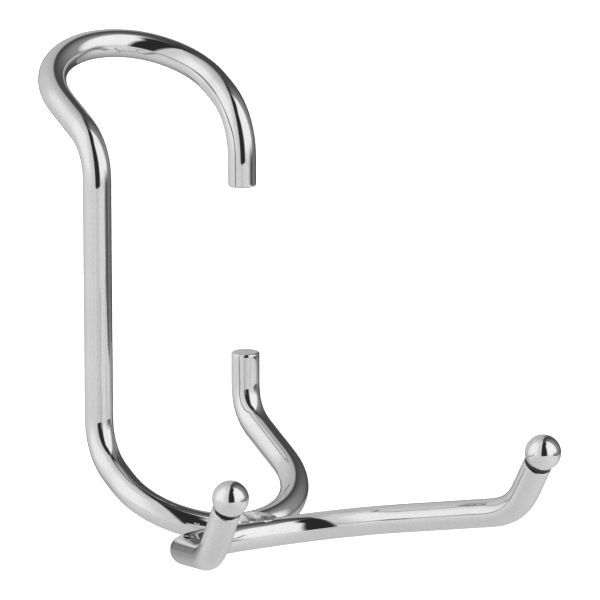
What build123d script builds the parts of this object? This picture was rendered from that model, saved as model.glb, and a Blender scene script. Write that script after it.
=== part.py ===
"""Chrome wire bag holder that grips a round post: a bent hook rod, a bent arm rod and two end balls.

Millimetres. +Z is up and along the post, +X is forward, towards the bag, and +Y is to the holder's left.
The origin is on the post's axis, level with the middle of the hook rod's open side.
"""

import os
from math import cos, radians, sin, sqrt

from build123d import *

# Stock
rod_d = 8.0
rod_end_round = 0.6
ball_d = 10.0
ball_seat = 4.65  # from a ball's centre to the flat that is welded to its rod

# Hook rod: one rod that hooks round the back of the post at the top and round its front below
shank_y = -25.25
shank_run = 68.7
loop_tilt = 23.7  # slope of both loops to the horizontal, in degrees
upper_loop_r = 24.75
upper_shank_bend_r = 14.0
upper_shank_leg = 13.0
upper_tip_leg = 4.7
tip_bend_r = 17.8
tip_run = 8.5
lower_loop_r = 25.85
lower_shank_bend_r = 14.7
lower_shank_leg = 5.6
lower_stub_leg = 16.6
stub_bend_r = 10.9
stub_run = 10.2
open_side_drop = 33.2  # from the top of the shank's straight run down to the middle of the open side

# Arm rod: a wide U, open to the front, with its two ends turned up
bow_middle_y = -0.7
bow_below_loop = 0.6  # from the front of the lower loop down to the U's middle, centre to centre
bow_half_run = 4.4
bow_r = 31.2
bow_turn = 70.5
bow_rise = 13.0  # slope of the U's plane, in degrees
arm_run = 35.3
arm_bend_r = 18.4
arm_end_run = 10.75
arm_end_forward = 0.66  # forward lean of the ends, as forward travel for each unit of rise
arm_end_outward = 0.05

# Weld bead on top of the joint: place along the U's middle run, half width and half height of each section
weld_sections = [
    (-6.6, 1.9, 0.7),
    (-4.6, 4.0, 1.5),
    (-2.3, 4.8, 1.9),
    (-0.1, 5.0, 1.7),
    (2.3, 5.7, 1.9),
    (4.6, 5.6, 1.6),
    (6.6, 4.2, 1.0),
    (7.8, 2.2, 0.5),
]
weld_above = 3.0  # from the rods' centres up to the middle of the sections

UP = Vector(0, 0, 1)
LEFT = Vector(0, 1, 0)


def tilted(degrees, forward):
    """A heading in the XZ plane that leaves the horizontal by this many degrees."""
    return Vector(forward * cos(radians(degrees)), 0, sin(radians(degrees)))


def draw_rod_line(start, heading, legs, last_run):
    """Draws a rod's centre line: each leg is a straight run, then a bend of a radius to a new heading."""
    for run, new_heading, radius in legs:
        if run > 0:
            Line(start, start + heading * run)
            start = start + heading * run
        turn = radians(heading.get_angle(new_heading))
        side = (new_heading - heading * cos(turn)).normalized()
        middle = start + heading * (radius * sin(turn / 2)) + side * (radius * (1 - cos(turn / 2)))
        end = start + heading * (radius * sin(turn)) + side * (radius * (1 - cos(turn)))
        ThreePointArc(start, middle, end)
        start = end
        heading = new_heading
    Line(start, start + heading * last_run)


def rod_section(path):
    """The plane across the start of a rod's centre line."""
    return Plane(origin=path @ 0, z_dir=path % 0)


# Hook rod, drawn both ways from the top of the shank's straight run
shank_top = Vector(0, shank_y, open_side_drop)
up_and_back = tilted(loop_tilt, -1)
down_and_forward = tilted(-loop_tilt, 1)
with BuildPart() as hook_rod:
    with BuildLine() as hook_line:
        draw_rod_line(
            shank_top,
            UP,
            [
                (0, up_and_back, upper_shank_bend_r),
                (upper_shank_leg, LEFT, upper_loop_r),
                (0, -up_and_back, upper_loop_r),
                (upper_tip_leg, -UP, tip_bend_r),
            ],
            tip_run,
        )
        draw_rod_line(
            shank_top,
            -UP,
            [
                (shank_run, down_and_forward, lower_shank_bend_r),
                (lower_shank_leg, LEFT, lower_loop_r),
                (0, -down_and_forward, lower_loop_r),
                (lower_stub_leg, UP, stub_bend_r),
            ],
            stub_run,
        )
    hook_path = hook_line.wire()
    with BuildSketch(rod_section(hook_path)):
        Circle(rod_d / 2)
    sweep(path=hook_path)
    hook_ends = hook_rod.faces().filter_by(GeomType.PLANE).edges()
    fillet(hook_ends, rod_end_round)
hook_rod.part.label = "hook_rod"

# Arm rod: its middle lies against the front of the lower loop, a little below it
lower_bend_turn = radians(90 - loop_tilt)
lower_loop_reach = (
    lower_shank_bend_r * (1 - cos(lower_bend_turn))
    + (lower_shank_leg + lower_loop_r) * cos(radians(loop_tilt))
)
lower_loop_fall = (
    lower_shank_bend_r * sin(lower_bend_turn)
    + (lower_shank_leg + lower_loop_r) * sin(radians(loop_tilt))
)
loop_front = Vector(lower_loop_reach, bow_middle_y, open_side_drop - shank_run - lower_loop_fall)
bow_middle = loop_front + Vector(sqrt(rod_d**2 - bow_below_loop**2), 0, -bow_below_loop)
bow_forward = tilted(bow_rise, 1)
arm_heading = LEFT * cos(radians(bow_turn)) + bow_forward * sin(radians(bow_turn))
end_heading = Vector(arm_end_forward, arm_end_outward, 1).normalized()
mirror_plane = Plane(origin=bow_middle, z_dir=LEFT)
with BuildPart() as arm_rod:
    with BuildLine() as arm_line:
        draw_rod_line(
            bow_middle,
            LEFT,
            [
                (bow_half_run, arm_heading, bow_r),
                (arm_run, end_heading, arm_bend_r),
            ],
            arm_end_run,
        )
        mirror(about=mirror_plane)
    arm_path = arm_line.wire()
    with BuildSketch(rod_section(arm_path)):
        Circle(rod_d / 2)
    sweep(path=arm_path)
arm_rod.part.label = "arm_rod"

# Balls: each has a small flat where it is welded to the end of the arm rod
ball_names = ["right_ball", "left_ball"]
arm_ends = sorted([arm_path @ 0, arm_path @ 1], key=lambda point: point.Y)
outward_headings = [Vector(arm_end_forward, side * arm_end_outward, 1).normalized() for side in (-1, 1)]
balls = []
for name, end, heading in zip(ball_names, arm_ends, outward_headings):
    with BuildPart(Plane(origin=end, z_dir=heading)) as ball:
        with Locations((0, 0, ball_seat)):
            Sphere(ball_d / 2)
        split(bisect_by=Plane(origin=end, z_dir=heading), keep=Keep.TOP)
    ball.part.label = name
    balls.append(ball.part)

# Weld bead over the valley between the two rods
weld_middle = (loop_front + bow_middle) / 2 + UP * weld_above
with BuildPart() as weld_bead:
    for along, half_width, half_height in weld_sections:
        with BuildSketch(Plane(origin=weld_middle + LEFT * along, x_dir=(1, 0, 0), z_dir=LEFT)):
            Ellipse(half_width, half_height)
    loft()
    add(hook_rod.part, mode=Mode.SUBTRACT)
    add(arm_rod.part, mode=Mode.SUBTRACT)
weld_bead.part.label = "weld_bead"

os.makedirs("parts", exist_ok=True)
for piece in [hook_rod.part, arm_rod.part, weld_bead.part, *balls]:
    export_step(piece, f"parts/{piece.label}.step")
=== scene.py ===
"""Looks of the chrome wire bag holder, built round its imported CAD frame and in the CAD's own frame.

The scene is in metres. The rods, balls and weld are traced in millimetres, as in the part, and scaled by
MM as their meshes are made.
"""

import math

import bmesh
import bpy
import numpy as np
from mathutils import Matrix, Vector, noise


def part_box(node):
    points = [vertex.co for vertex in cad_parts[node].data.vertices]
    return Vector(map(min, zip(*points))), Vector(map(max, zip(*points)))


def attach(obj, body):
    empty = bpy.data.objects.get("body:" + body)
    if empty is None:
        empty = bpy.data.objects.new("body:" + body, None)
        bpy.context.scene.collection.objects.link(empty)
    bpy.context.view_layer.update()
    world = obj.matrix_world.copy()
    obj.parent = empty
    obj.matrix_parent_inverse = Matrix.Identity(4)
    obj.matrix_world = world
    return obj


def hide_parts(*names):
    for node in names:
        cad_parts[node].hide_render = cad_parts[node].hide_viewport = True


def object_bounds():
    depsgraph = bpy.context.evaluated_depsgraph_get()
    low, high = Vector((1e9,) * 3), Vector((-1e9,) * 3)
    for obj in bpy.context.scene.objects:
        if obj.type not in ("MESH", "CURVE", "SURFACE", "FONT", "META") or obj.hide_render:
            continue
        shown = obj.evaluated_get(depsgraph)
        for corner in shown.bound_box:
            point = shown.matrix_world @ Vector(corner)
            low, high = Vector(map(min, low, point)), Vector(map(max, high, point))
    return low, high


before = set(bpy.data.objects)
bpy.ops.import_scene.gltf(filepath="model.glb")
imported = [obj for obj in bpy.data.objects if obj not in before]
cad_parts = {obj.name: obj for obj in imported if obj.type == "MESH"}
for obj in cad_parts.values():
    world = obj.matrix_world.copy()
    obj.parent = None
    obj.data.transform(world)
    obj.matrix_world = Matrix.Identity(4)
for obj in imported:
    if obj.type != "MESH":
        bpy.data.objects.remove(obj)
cad_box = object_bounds()

MM = 0.001
UP = Vector((0.0, 0.0, 1.0))
LEFT = Vector((0.0, 1.0, 0.0))

# Camera: degrees and metres. Azimuth 0 looks from the holder's right, and 90 from its front
VIEW_AZIMUTH = 60.11
VIEW_ELEVATION = 13.47
VIEW_ROLL = 0.22
VIEW_DISTANCE = 2.8
VIEW_AIM = Vector((0.04503, 0.01394, 0.00307))
LENS_MM = 605.7
SENSOR_MM = 36.0
CLIP_END = 200.0

azimuth = math.radians(VIEW_AZIMUTH)
elevation = math.radians(VIEW_ELEVATION)
right = Vector((math.cos(azimuth), math.sin(azimuth), 0.0))
up = Vector(
    (
        -math.sin(azimuth) * math.sin(elevation),
        math.cos(azimuth) * math.sin(elevation),
        math.cos(elevation),
    )
)
back = right.cross(up)

# Mesh resolution
SIDES = 72  # points round a rod, a ball or the weld
STEP = 0.5  # mm between points along a rod

# Rods, in mm. The runs and bend radii are the part's own
ROD_R = 3.98
EASE = 2.6  # reach of the change from a run to a bend
SWELL = 0.02  # unevenness of the drawn surface
SWELL_SCALE = 0.11
SHANK_TOP = Vector((0.0, -25.25, 33.2))
SHANK_RUN = 68.7
LOOP_TILT = 23.7
UPPER_LOOP_R = 24.75
UPPER_SHANK_BEND_R = 14.0
UPPER_SHANK_LEG = 13.0
UPPER_TIP_LEG = 4.7
TIP_BEND_R = 17.8
TIP_RUN = 8.5
LOWER_LOOP_R = 25.85
LOWER_SHANK_BEND_R = 14.7
LOWER_SHANK_LEG = 5.6
LOWER_STUB_LEG = 16.6
STUB_BEND_R = 10.9
STUB_RUN = 10.2
LOOP_FRONT = Vector((37.589, -0.7, -61.6))
BOW_MIDDLE = Vector((45.566, -0.7, -62.2))
BOW_HALF_RUN = 4.4
BOW_R = 31.2
BOW_TURN = math.radians(70.5)
BOW_RISE = 13.0
ARM_RUN = 35.3
ARM_BEND_R = 18.4
ARM_END_RUN = 10.75
ARM_END = Vector((0.66, 0.05, 1.0))
HOOK_END_ROUND = 0.6
ARM_END_ROUND = 0.3

# Balls and the near-black necks under them, which paint the shade in the gaps, in mm
BALL_R = 4.98
SEAT = 4.65  # from a ball's centre to the flat on its rod
BALL_RINGS = 48
BALL_LUMPS = 0.012
LUMP_SCALE = 0.8
POLE_R = 0.02
NECK_CORE_R = 1.0
NECK_LUMPS = 0.12
RIGHT_NECK_R = 3.1
LEFT_NECK_R = 3.7

# Weld, in mm: place along the U's middle run, half width and half height of each section
WELD_SECTIONS = (
    (-7.3, 0.9, 0.3),
    (-6.6, 1.9, 0.7),
    (-4.6, 4.0, 1.5),
    (-2.3, 4.8, 1.9),
    (-0.1, 5.0, 1.7),
    (2.3, 5.7, 1.9),
    (4.6, 5.6, 1.6),
    (6.6, 4.2, 1.0),
    (7.8, 2.2, 0.5),
)
WELD_ABOVE = 3.0
WELD_RINGS = 90
WELD_LUMPS = ((0.3, 0.4), (0.75, 0.1))  # scale and height of each lot of lumps

# Studio, in metres
FLOOR_DROP = 0.25
FLOOR_SIZE = 60.0
FLOOR_TONE = 0.92
SUN_ENERGY = 2.4
SUN_SPREAD = 60.0
CARD_Z = -0.16
CARD_RIGHT = 0.57
CARD_LEFT = -0.29
CARD_FRONT = 0.86
CARD_BACK = -0.38
CARD_TURN = 10.0  # degrees by which the card's right edge turns outwards

# Ramps of the mirrored surroundings: where each starts and ends, then its two values
CARD_SIDEWAYS = (0.0, 0.3, 0.85, 1.02)
CARD_AWAY = (-0.08, 0.3, 0.98, 0.4)
# The rest are in degrees: to the camera's right, or above the horizon
WALL_TONE = (-180.0, -100.0, 0.66, 0.92)
WALL_TOP = (74.0, 90.0, 1.0, 0.75)
WALL_END = (-17.0, -9.0)
PANEL_FOOT = (-24.0, 6.0, 0.7, 1.32)
PANEL_FAR_FOOT = (-13.0, 9.0, 0.12, 1.32)
PANEL_FOOT_CHANGE = (52.0, 80.0)
PANEL_TOP = (-7.0, 7.0, 1.0, 0.0)
PANEL_CROWN = (66.0, 82.0, 1.0, 0.25)
DIM_START = (80.0, 104.0)
DIM_TONE = (100.0, 162.0, 0.4, 0.09)
DIM_END = (164.0, 180.0, 0.0, 0.56)
DIM_TOP = (62.0, 80.0, 1.0, 0.3)
DIM_FOOT = (-8.0, 6.0, 0.7, 1.0)
# Bands rise between their first two edges and fall between their last two
WINDOW_SIDES = (-120.0, -90.0, -62.0, -22.0)
WINDOW_RISES = (-20.0, 4.0, 48.0, 72.0)
PANEL_SIDES = (20.0, 32.0, 88.0, 114.0)
WINDOW_RADIANCE = 0.36
PANEL_TOP_SLOPE = 0.5
PANEL_TOP_RISE = 41.0
GAP_RADIANCE = 0.035
BEHIND = (0.86, 0.985)  # cosine of the angle from straight behind the object
BEHIND_RADIANCE = 0.12

# Chrome: noise scales per metre, the tints between which it drifts, and how far its gloss varies
DRIFT_SCALE = 60.0
HAZE_SCALE = 900.0
GRAIN_SCALE = 1900.0
DRIFT_SHARE = 0.4
DULL = (0.95, 0.95, 0.965)
BRIGHT = (1.035, 1.035, 1.045)
ROUGHNESS_RANGE = (0.8, 1.3)
BUMP_STRENGTH = 0.03
BUMP_DISTANCE = 0.001


def new_material(name):
    material = bpy.data.materials.new(name)
    material.use_nodes = True
    tree = material.node_tree
    tree.nodes.clear()
    return material, tree


class Graph:
    """Short way to add and link shader nodes."""

    def __init__(self, tree):
        self.tree = tree

    def node(self, kind, **settings):
        made = self.tree.nodes.new(kind)
        for key, value in settings.items():
            setattr(made, key, value)
        return made

    def feed(self, target, value):
        if isinstance(value, bpy.types.NodeSocket):
            self.tree.links.new(value, target)
        else:
            target.default_value = value

    def math(self, operation, *values):
        made = self.node("ShaderNodeMath", operation=operation)
        for target, value in zip(made.inputs, values):
            self.feed(target, value)
        return made.outputs[0]

    def product(self, first, *others):
        for other in others:
            first = self.math("MULTIPLY", first, other)
        return first

    def step(self, value, start, end, low=0.0, high=1.0):
        """Goes smoothly from low at start to high at end."""
        made = self.node("ShaderNodeMapRange", interpolation_type="SMOOTHSTEP")
        for target, given in zip(made.inputs, (value, start, end, low, high)):
            self.feed(target, given)
        return made.outputs[0]

    def band(self, value, *edges):
        """1 between the middle two of four edges, falling to 0 at the outer two."""
        rising = self.step(value, edges[0], edges[1])
        falling = self.step(value, edges[2], edges[3], 1.0, 0.0)
        return self.product(rising, falling)

    def mix(self, amount, low, high):
        """Low where the amount is 0, and high where it is 1."""
        made = self.node("ShaderNodeMix")
        for place, value in zip((0, 2, 3), (amount, low, high)):
            self.feed(made.inputs[place], value)
        return made.outputs[0]

    def noise(self, vector, scale, detail, roughness=0.5):
        made = self.node("ShaderNodeTexNoise")
        self.feed(made.inputs["Vector"], vector)
        self.feed(made.inputs["Scale"], scale)
        self.feed(made.inputs["Detail"], detail)
        self.feed(made.inputs["Roughness"], roughness)
        return made.outputs["Fac"]

    def camera_axes(self, vector):
        """The vector's share to the camera's right, its share away from the camera, and its height."""
        turned = self.node("ShaderNodeVectorRotate", rotation_type="Z_AXIS")
        self.feed(turned.inputs["Vector"], vector)
        turned.inputs["Angle"].default_value = -azimuth
        parts = self.node("ShaderNodeSeparateXYZ")
        self.feed(parts.inputs["Vector"], turned.outputs["Vector"])
        return parts.outputs


def chrome(name, tone, roughness):
    """Bright chrome plate: a drift and grain of tone, a haze of gloss, and a faintly uneven surface."""
    material, tree = new_material(name)
    g = Graph(tree)
    place = g.node("ShaderNodeTexCoord").outputs["Object"]
    drift = g.noise(place, DRIFT_SCALE, 3.0)
    haze = g.noise(place, HAZE_SCALE, 4.0, 0.6)
    grain = g.noise(place, GRAIN_SCALE, 2.0)
    uneven = g.math("MULTIPLY_ADD", drift, DRIFT_SHARE, g.math("MULTIPLY", grain, 1.0 - DRIFT_SHARE))
    colour = g.node("ShaderNodeMix", data_type="RGBA")
    g.feed(colour.inputs["Factor"], g.step(uneven, 0.35, 0.65))
    g.feed(colour.inputs["A"], (*(tone * share for share in DULL), 1.0))
    g.feed(colour.inputs["B"], (*(tone * share for share in BRIGHT), 1.0))
    bump = g.node("ShaderNodeBump")
    bump.inputs["Strength"].default_value = BUMP_STRENGTH
    bump.inputs["Distance"].default_value = BUMP_DISTANCE
    g.feed(bump.inputs["Height"], drift)
    shader = g.node("ShaderNodeBsdfPrincipled")
    shader.inputs["Metallic"].default_value = 1.0
    g.feed(shader.inputs["Base Color"], colour.outputs["Result"])
    smoothest, roughest = (roughness * share for share in ROUGHNESS_RANGE)
    g.feed(shader.inputs["Roughness"], g.step(haze, 0.2, 0.8, smoothest, roughest))
    g.feed(shader.inputs["Normal"], bump.outputs["Normal"])
    out = g.node("ShaderNodeOutputMaterial")
    g.feed(out.inputs["Surface"], shader.outputs[0])
    return material


def painted_shade_metal(name):
    """Near-black metal for the neck under a ball: painted shade for the gap between ball and rod."""
    material, tree = new_material(name)
    g = Graph(tree)
    place = g.node("ShaderNodeTexCoord").outputs["Object"]
    grain = g.noise(place, 1500.0, 3.0)
    colour = g.node("ShaderNodeMix", data_type="RGBA")
    g.feed(colour.inputs["Factor"], grain)
    # Near-black tones: painted shade, with a random grain between the two
    g.feed(colour.inputs["A"], (0.012, 0.012, 0.013, 1.0))
    g.feed(colour.inputs["B"], (0.05, 0.05, 0.052, 1.0))
    shader = g.node("ShaderNodeBsdfPrincipled")
    shader.inputs["Metallic"].default_value = 0.6
    shader.inputs["Roughness"].default_value = 0.5
    g.feed(shader.inputs["Base Color"], colour.outputs["Result"])
    out = g.node("ShaderNodeOutputMaterial")
    g.feed(out.inputs["Surface"], shader.outputs[0])
    return material


def tilted(degrees, forward):
    """A heading in the XZ plane that leaves the horizontal by this many degrees."""
    angle = math.radians(degrees)
    return Vector((forward * math.cos(angle), 0.0, math.sin(angle)))


def trace(start, heading, legs, last_run):
    """Points along a rod's centre line: each leg is a run, a new heading and a bend radius."""
    points = [start.copy()]

    def run_on(length):
        steps = max(1, round(length / STEP))
        begin = points[-1].copy()
        points.extend(begin + heading * (length * k / steps) for k in range(1, steps + 1))

    for run, new_heading, radius in legs:
        if run > 0:
            run_on(run)
        turn = heading.angle(new_heading)
        inward = (new_heading - heading * math.cos(turn)).normalized()
        begin = points[-1].copy()
        steps = max(2, round(radius * turn / STEP))
        for k in range(1, steps + 1):
            angle = turn * k / steps
            along = heading * (radius * math.sin(angle))
            points.append(begin + along + inward * (radius * (1.0 - math.cos(angle))))
        heading = new_heading
    run_on(last_run)
    return points


def smoothed(points):
    """Averages a centre line over a few mm, as bent rod has no sudden change of bend."""
    reach = math.ceil(3.0 * EASE / STEP)
    weights = np.exp(-0.5 * (np.arange(-reach, reach + 1) * STEP / EASE) ** 2)
    weights /= weights.sum()
    before = points[0] + (points[0] - points[1]) * np.arange(reach, 0, -1)[:, None]
    after = points[-1] + (points[-1] - points[-2]) * np.arange(1, reach + 1)[:, None]
    padded = np.vstack([before, points, after])
    return np.column_stack([np.convolve(padded[:, k], weights, "valid") for k in range(3)])


def eased(points):
    """Smooths the changes from run to bend, and leaves the bends' own radius alone."""
    line = np.array([tuple(p) for p in points])
    return smoothed(2.0 * line - smoothed(line))


def ringed_piece(name, points):
    """A closed tube through rings of SIDES points each, given in mm, one ring after another."""
    rings = len(points) // SIDES
    faces = []
    for k in range(rings - 1):
        for j in range(SIDES):
            n = (j + 1) % SIDES
            faces.append((k * SIDES + j, k * SIDES + n, (k + 1) * SIDES + n, (k + 1) * SIDES + j))
    faces.append(tuple(range(SIDES)))
    faces.append(tuple(range((rings - 1) * SIDES, rings * SIDES)))
    mesh = bpy.data.meshes.new(name)
    mesh.from_pydata([tuple(point * MM) for point in points], [], faces)
    shape = bmesh.new()
    shape.from_mesh(mesh)
    bmesh.ops.recalc_face_normals(shape, faces=shape.faces)
    shape.to_mesh(mesh)
    shape.free()
    mesh.polygons.foreach_set("use_smooth", [True] * len(mesh.polygons))
    piece = bpy.data.objects.new(name, mesh)
    bpy.context.scene.collection.objects.link(piece)
    return piece


def spokes(first, second):
    """Unit vectors round a ring, from the first axis towards the second."""
    angles = [math.tau * j / SIDES for j in range(SIDES)]
    return [first * math.cos(angle) + second * math.sin(angle) for angle in angles]


def rod(name, line, end_round, seed):
    """A tube round the centre line with rounded end edges and a slightly uneven surface."""
    headings = np.gradient(line, axis=0)
    headings /= np.linalg.norm(headings, axis=1)[:, None]
    side_axis = Vector(headings[0]).orthogonal().normalized()
    frames = []
    for heading in map(Vector, headings):
        side_axis = (side_axis - heading * side_axis.dot(heading)).normalized()
        frames.append((heading, spokes(side_axis, heading.cross(side_axis))))
    # Each ring is its point on the line, its shift along the line there, and its radius
    last = len(line) - 1
    clear = math.ceil(end_round / STEP) + 1
    face_radii = [ROD_R * share for share in (0.25, 0.6, 0.8)] + [ROD_R - end_round - 0.02]
    corner = [
        (end_round * (1.0 - math.cos(angle)), ROD_R - end_round * (1.0 - math.sin(angle)))
        for angle in (math.radians(15.0 * k) for k in range(7))
    ]
    rings = [(0, 0.0, radius) for radius in face_radii]
    rings += [(0, depth, radius) for depth, radius in corner]
    rings += [(k, 0.0, ROD_R) for k in range(clear, last - clear + 1)]
    rings += [(last, -depth, radius) for depth, radius in reversed(corner)]
    rings += [(last, 0.0, radius) for radius in reversed(face_radii)]
    points = []
    for k, shift, radius in rings:
        heading, outwards = frames[k]
        middle = Vector(line[k]) + heading * shift
        for outward in outwards:
            spot = middle + outward * radius
            if radius > ROD_R * 0.99:
                spot += outward * (SWELL * noise.noise(spot * SWELL_SCALE + Vector((seed, 0.0, 0.0))))
            points.append(spot)
    return ringed_piece(name, points)


def lathe(name, origin, axis, profile, lumps, seed):
    """A turned piece: profile gives (radius, height along the axis) from one end to the other."""
    first = axis.orthogonal().normalized()
    points = []
    for radius, height in profile:
        for outward in spokes(first, axis.cross(first)):
            spot = origin + axis * height + outward * radius
            spot += outward * (lumps * noise.noise(spot * LUMP_SCALE + Vector((seed, 0.0, 0.0))))
            points.append(spot)
    return ringed_piece(name, points)


def ball_profile():
    """A sphere from the edge of its flat seat to its far pole."""
    flat = math.acos(SEAT / BALL_R)
    arc = [flat + (math.pi - flat) * k / BALL_RINGS for k in range(BALL_RINGS + 1)]
    profile = [(BALL_R * math.sin(angle), SEAT - BALL_R * math.cos(angle)) for angle in arc]
    profile[-1] = (POLE_R, SEAT + BALL_R)
    return profile


def neck_profile(neck_r):
    """A short, slightly waisted neck from the rod's end face up into the ball."""
    top = SEAT - math.sqrt(BALL_R**2 - neck_r**2)
    return [
        (NECK_CORE_R, 0.02),
        (neck_r - 0.15, 0.02),
        (neck_r, 0.12),
        (neck_r - 0.12, top * 0.5),
        (neck_r - 0.05, top),
        (neck_r - 0.3, top + 0.1),
        (NECK_CORE_R, top - 0.2),
    ]


def settle(piece, node):
    """Centres the piece on its CAD node's box, and lets it stand for that node."""
    low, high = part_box(node)
    spots = np.array([v.co for v in piece.data.vertices])
    shift = (Vector(low) + Vector(high)) / 2.0 - Vector((spots.min(0) + spots.max(0)) / 2.0)
    piece.data.transform(Matrix.Translation(shift))
    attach(piece, "root")
    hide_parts(node)


# Hook rod, traced both ways from the top of the shank's straight run
rod_chrome = chrome("rod_chrome", tone=0.64, roughness=0.045)
up_and_back = tilted(LOOP_TILT, -1.0)
down_and_forward = tilted(-LOOP_TILT, 1.0)
upper = trace(
    SHANK_TOP,
    UP,
    [
        (0.0, up_and_back, UPPER_SHANK_BEND_R),
        (UPPER_SHANK_LEG, LEFT, UPPER_LOOP_R),
        (0.0, -up_and_back, UPPER_LOOP_R),
        (UPPER_TIP_LEG, -UP, TIP_BEND_R),
    ],
    TIP_RUN,
)
lower = trace(
    SHANK_TOP,
    -UP,
    [
        (SHANK_RUN, down_and_forward, LOWER_SHANK_BEND_R),
        (LOWER_SHANK_LEG, LEFT, LOWER_LOOP_R),
        (0.0, -down_and_forward, LOWER_LOOP_R),
        (LOWER_STUB_LEG, UP, STUB_BEND_R),
    ],
    STUB_RUN,
)
hook_piece = rod("hook_wire", eased(upper[::-1] + lower[1:]), HOOK_END_ROUND, seed=3.0)
hook_piece.data.materials.append(rod_chrome)
settle(hook_piece, "hook_rod")

# Arm rod: one half, and its mirror image
bow_forward = tilted(BOW_RISE, 1.0)
arm_heading = LEFT * math.cos(BOW_TURN) + bow_forward * math.sin(BOW_TURN)
half = trace(
    BOW_MIDDLE,
    LEFT,
    [(BOW_HALF_RUN, arm_heading, BOW_R), (ARM_RUN, ARM_END.normalized(), ARM_BEND_R)],
    ARM_END_RUN,
)
mirrored = [Vector((p.x, 2.0 * BOW_MIDDLE.y - p.y, p.z)) for p in half]
arm_line = eased(mirrored[::-1] + half[1:])
arm_piece = rod("arm_wire", arm_line, ARM_END_ROUND, seed=8.0)
arm_piece.data.materials.append(rod_chrome)
settle(arm_piece, "arm_rod")

# Balls, each over a near-black neck: painted shade for the gap between ball and rod
ball_chrome = chrome("ball_chrome", tone=0.66, roughness=0.02)
painted_shade_neck_metal = painted_shade_metal("painted_shade_neck_metal")
for node, end, before_end, neck_r, seed in (
    ("right_ball", Vector(arm_line[0]), Vector(arm_line[1]), RIGHT_NECK_R, 1.0),
    ("left_ball", Vector(arm_line[-1]), Vector(arm_line[-2]), LEFT_NECK_R, 5.0),
):
    heading = (end - before_end).normalized()
    ball = lathe(node + "_turned", end, heading, ball_profile(), BALL_LUMPS, seed)
    ball.data.materials.append(ball_chrome)
    settle(ball, node)
    # The neck is painted shade: a near-black piece filling the shaded gap under the ball
    painted_shade_neck = lathe(node + "_crevice", end, heading, neck_profile(neck_r), NECK_LUMPS, seed)
    painted_shade_neck.data.materials.append(painted_shade_neck_metal)
    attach(painted_shade_neck, "root")

# Weld: a pool over the valley between the two rods, lumpy on its upper side
weld_middle = (LOOP_FRONT + BOW_MIDDLE) / 2.0 + UP * WELD_ABOVE
places, widths, heights = (np.array(column) for column in zip(*WELD_SECTIONS))
weld_points = []
for along in np.linspace(places[0], places[-1], WELD_RINGS):
    width = float(np.interp(along, places, widths))
    height = float(np.interp(along, places, heights))
    for j in range(SIDES):
        angle = math.tau * j / SIDES
        spot = weld_middle + Vector((width * math.cos(angle), along, height * math.sin(angle)))
        lump = sum(noise.noise(spot * scale) * rise for scale, rise in WELD_LUMPS)
        weld_points.append(spot + UP * (lump * max(0.0, math.sin(angle))))
weld = ringed_piece("weld_pool", weld_points)
weld.data.materials.append(chrome("weld_chrome", tone=0.93, roughness=0.24))
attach(weld, "root")
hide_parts("weld_bead")

# Floor, seen by the camera but not mirrored in the chrome
floor_z = cad_box[0][2] - FLOOR_DROP
bpy.ops.mesh.primitive_plane_add(size=FLOOR_SIZE, location=(0.0, 0.0, floor_z))
floor = bpy.context.object
floor.name = "floor"
floor_material, tree = new_material("floor_paper")
g = Graph(tree)
shader = g.node("ShaderNodeBsdfDiffuse")
shader.inputs["Color"].default_value = (FLOOR_TONE, FLOOR_TONE, FLOOR_TONE, 1.0)
out = g.node("ShaderNodeOutputMaterial")
g.feed(out.inputs["Surface"], shader.outputs[0])
floor.data.materials.append(floor_material)
floor.visible_glossy = False

# Soft light from above for the floor
light_data = bpy.data.lights.new("overhead", "SUN")
light_data.energy = SUN_ENERGY
light_data.angle = math.radians(SUN_SPREAD)
light = bpy.data.objects.new("overhead", light_data)
bpy.context.scene.collection.objects.link(light)
light.visible_glossy = False

# Card that the chrome mirrors as the table: its edges are where the mirrored table ends
toward = Vector((math.sin(azimuth), -math.cos(azimuth), 0.0))
across = Vector((math.cos(azimuth), math.sin(azimuth), 0.0))
skew = math.tan(math.radians(CARD_TURN))
corners = [
    toward * reach + across * side_at + UP * CARD_Z
    for reach, side_at in (
        (CARD_BACK, CARD_LEFT),
        (CARD_BACK, CARD_RIGHT + skew * CARD_BACK),
        (CARD_FRONT, CARD_RIGHT + skew * CARD_FRONT),
        (CARD_FRONT, CARD_LEFT),
    )
]
card_mesh = bpy.data.meshes.new("floor_card")
card_mesh.from_pydata(corners, [], [(0, 1, 2, 3)])
card = bpy.data.objects.new("floor_card", card_mesh)
bpy.context.scene.collection.objects.link(card)
card_material, tree = new_material("floor_card")
g = Graph(tree)
sideways, away, _ = g.camera_axes(g.node("ShaderNodeTexCoord").outputs["Object"])
spread = g.step(g.math("ABSOLUTE", sideways), *CARD_SIDEWAYS)
shader = g.node("ShaderNodeEmission")
g.feed(shader.inputs["Strength"], g.product(spread, g.step(away, *CARD_AWAY)))
out = g.node("ShaderNodeOutputMaterial")
g.feed(out.inputs["Surface"], shader.outputs[0])
card_mesh.materials.append(card_material)
card.visible_camera = False
card.visible_diffuse = False
card.visible_shadow = False

# World: what else the chrome mirrors, by direction about the camera's side of the object
world = bpy.data.worlds.new("studio")
world.use_nodes = True
bpy.context.scene.world = world
tree = world.node_tree
tree.nodes.clear()
g = Graph(tree)
direction = g.node("ShaderNodeTexCoord").outputs["Generated"]
sideways, away, height = g.camera_axes(direction)
DEG = math.degrees(1.0)
side = g.math("MULTIPLY", g.math("ARCTAN2", sideways, g.math("MULTIPLY", away, -1.0)), DEG)
rise = g.math("MULTIPLY", g.math("ARCSINE", height), DEG)

# Left of the camera: a pale wall that reaches right round to the back, with a bright window on it
window = g.product(g.band(side, *WINDOW_SIDES), g.band(rise, *WINDOW_RISES), WINDOW_RADIANCE)
wall = g.math("ADD", g.step(side, *WALL_TONE), window)
wall = g.product(wall, g.step(rise, *WALL_TOP))

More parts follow.
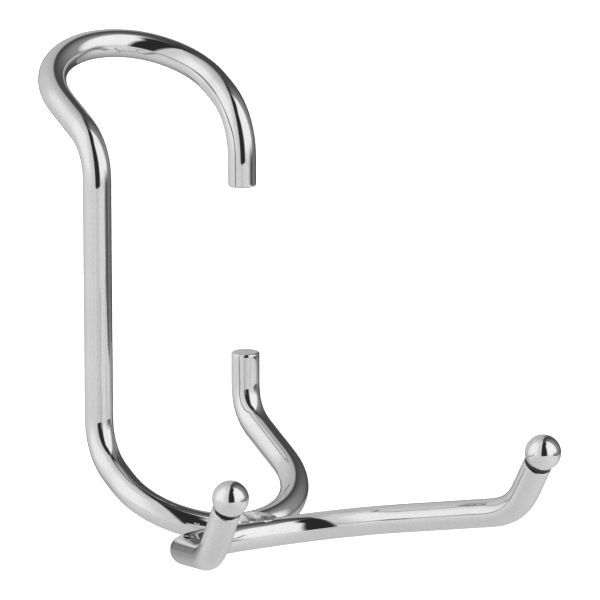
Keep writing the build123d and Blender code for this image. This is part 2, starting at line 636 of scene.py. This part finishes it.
# Right of the camera: a bright panel that fades downwards and has a slanted top edge
panel_top = g.math("MULTIPLY_ADD", side, PANEL_TOP_SLOPE, PANEL_TOP_RISE)
panel = g.product(
    g.mix(g.step(side, *PANEL_FOOT_CHANGE), g.step(rise, *PANEL_FOOT), g.step(rise, *PANEL_FAR_FOOT)),
    g.step(g.math("SUBTRACT", rise, panel_top), *PANEL_TOP),
    g.band(side, *PANEL_SIDES),
    g.step(rise, *PANEL_CROWN),
)

# Beyond the panel: a dim wall, a little brighter at its far end
dim = g.product(g.step(side, *DIM_START), g.step(side, *DIM_TONE))
dim = g.math("ADD", dim, g.step(side, *DIM_END))
dim = g.product(dim, g.step(rise, *DIM_TOP), g.step(rise, *DIM_FOOT))
right_side = g.math("MAXIMUM", g.math("MAXIMUM", panel, dim), GAP_RADIANCE)

# The left wall ends before the camera, and it is darker straight behind the object
total = g.mix(g.step(side, *WALL_END), wall, right_side)
behind = g.node("ShaderNodeVectorMath", operation="DOT_PRODUCT")
g.feed(behind.inputs[0], direction)
g.feed(behind.inputs[1], tuple(-back))
total = g.mix(g.step(behind.outputs["Value"], *BEHIND), total, BEHIND_RADIANCE)
background = g.node("ShaderNodeBackground")
grey = g.node("ShaderNodeCombineColor")
for socket in grey.inputs[:3]:
    g.feed(socket, total)
g.feed(background.inputs["Color"], grey.outputs[0])
out = g.node("ShaderNodeOutputWorld")
g.feed(out.inputs["Surface"], background.outputs[0])

# Camera
roll = math.radians(VIEW_ROLL)
camera_x = right * math.cos(roll) - up * math.sin(roll)
camera_y = right * math.sin(roll) + up * math.cos(roll)
camera_data = bpy.data.cameras.new("camera")
camera_data.lens = LENS_MM
camera_data.sensor_width = SENSOR_MM
camera_data.clip_end = CLIP_END
camera = bpy.data.objects.new("camera", camera_data)
bpy.context.scene.collection.objects.link(camera)
turn = Matrix((camera_x, camera_y, back)).transposed().to_4x4()
camera.matrix_world = Matrix.Translation(VIEW_AIM + back * VIEW_DISTANCE) @ turn
bpy.context.scene.camera = camera
bpy.context.scene.view_settings.view_transform = "Standard"
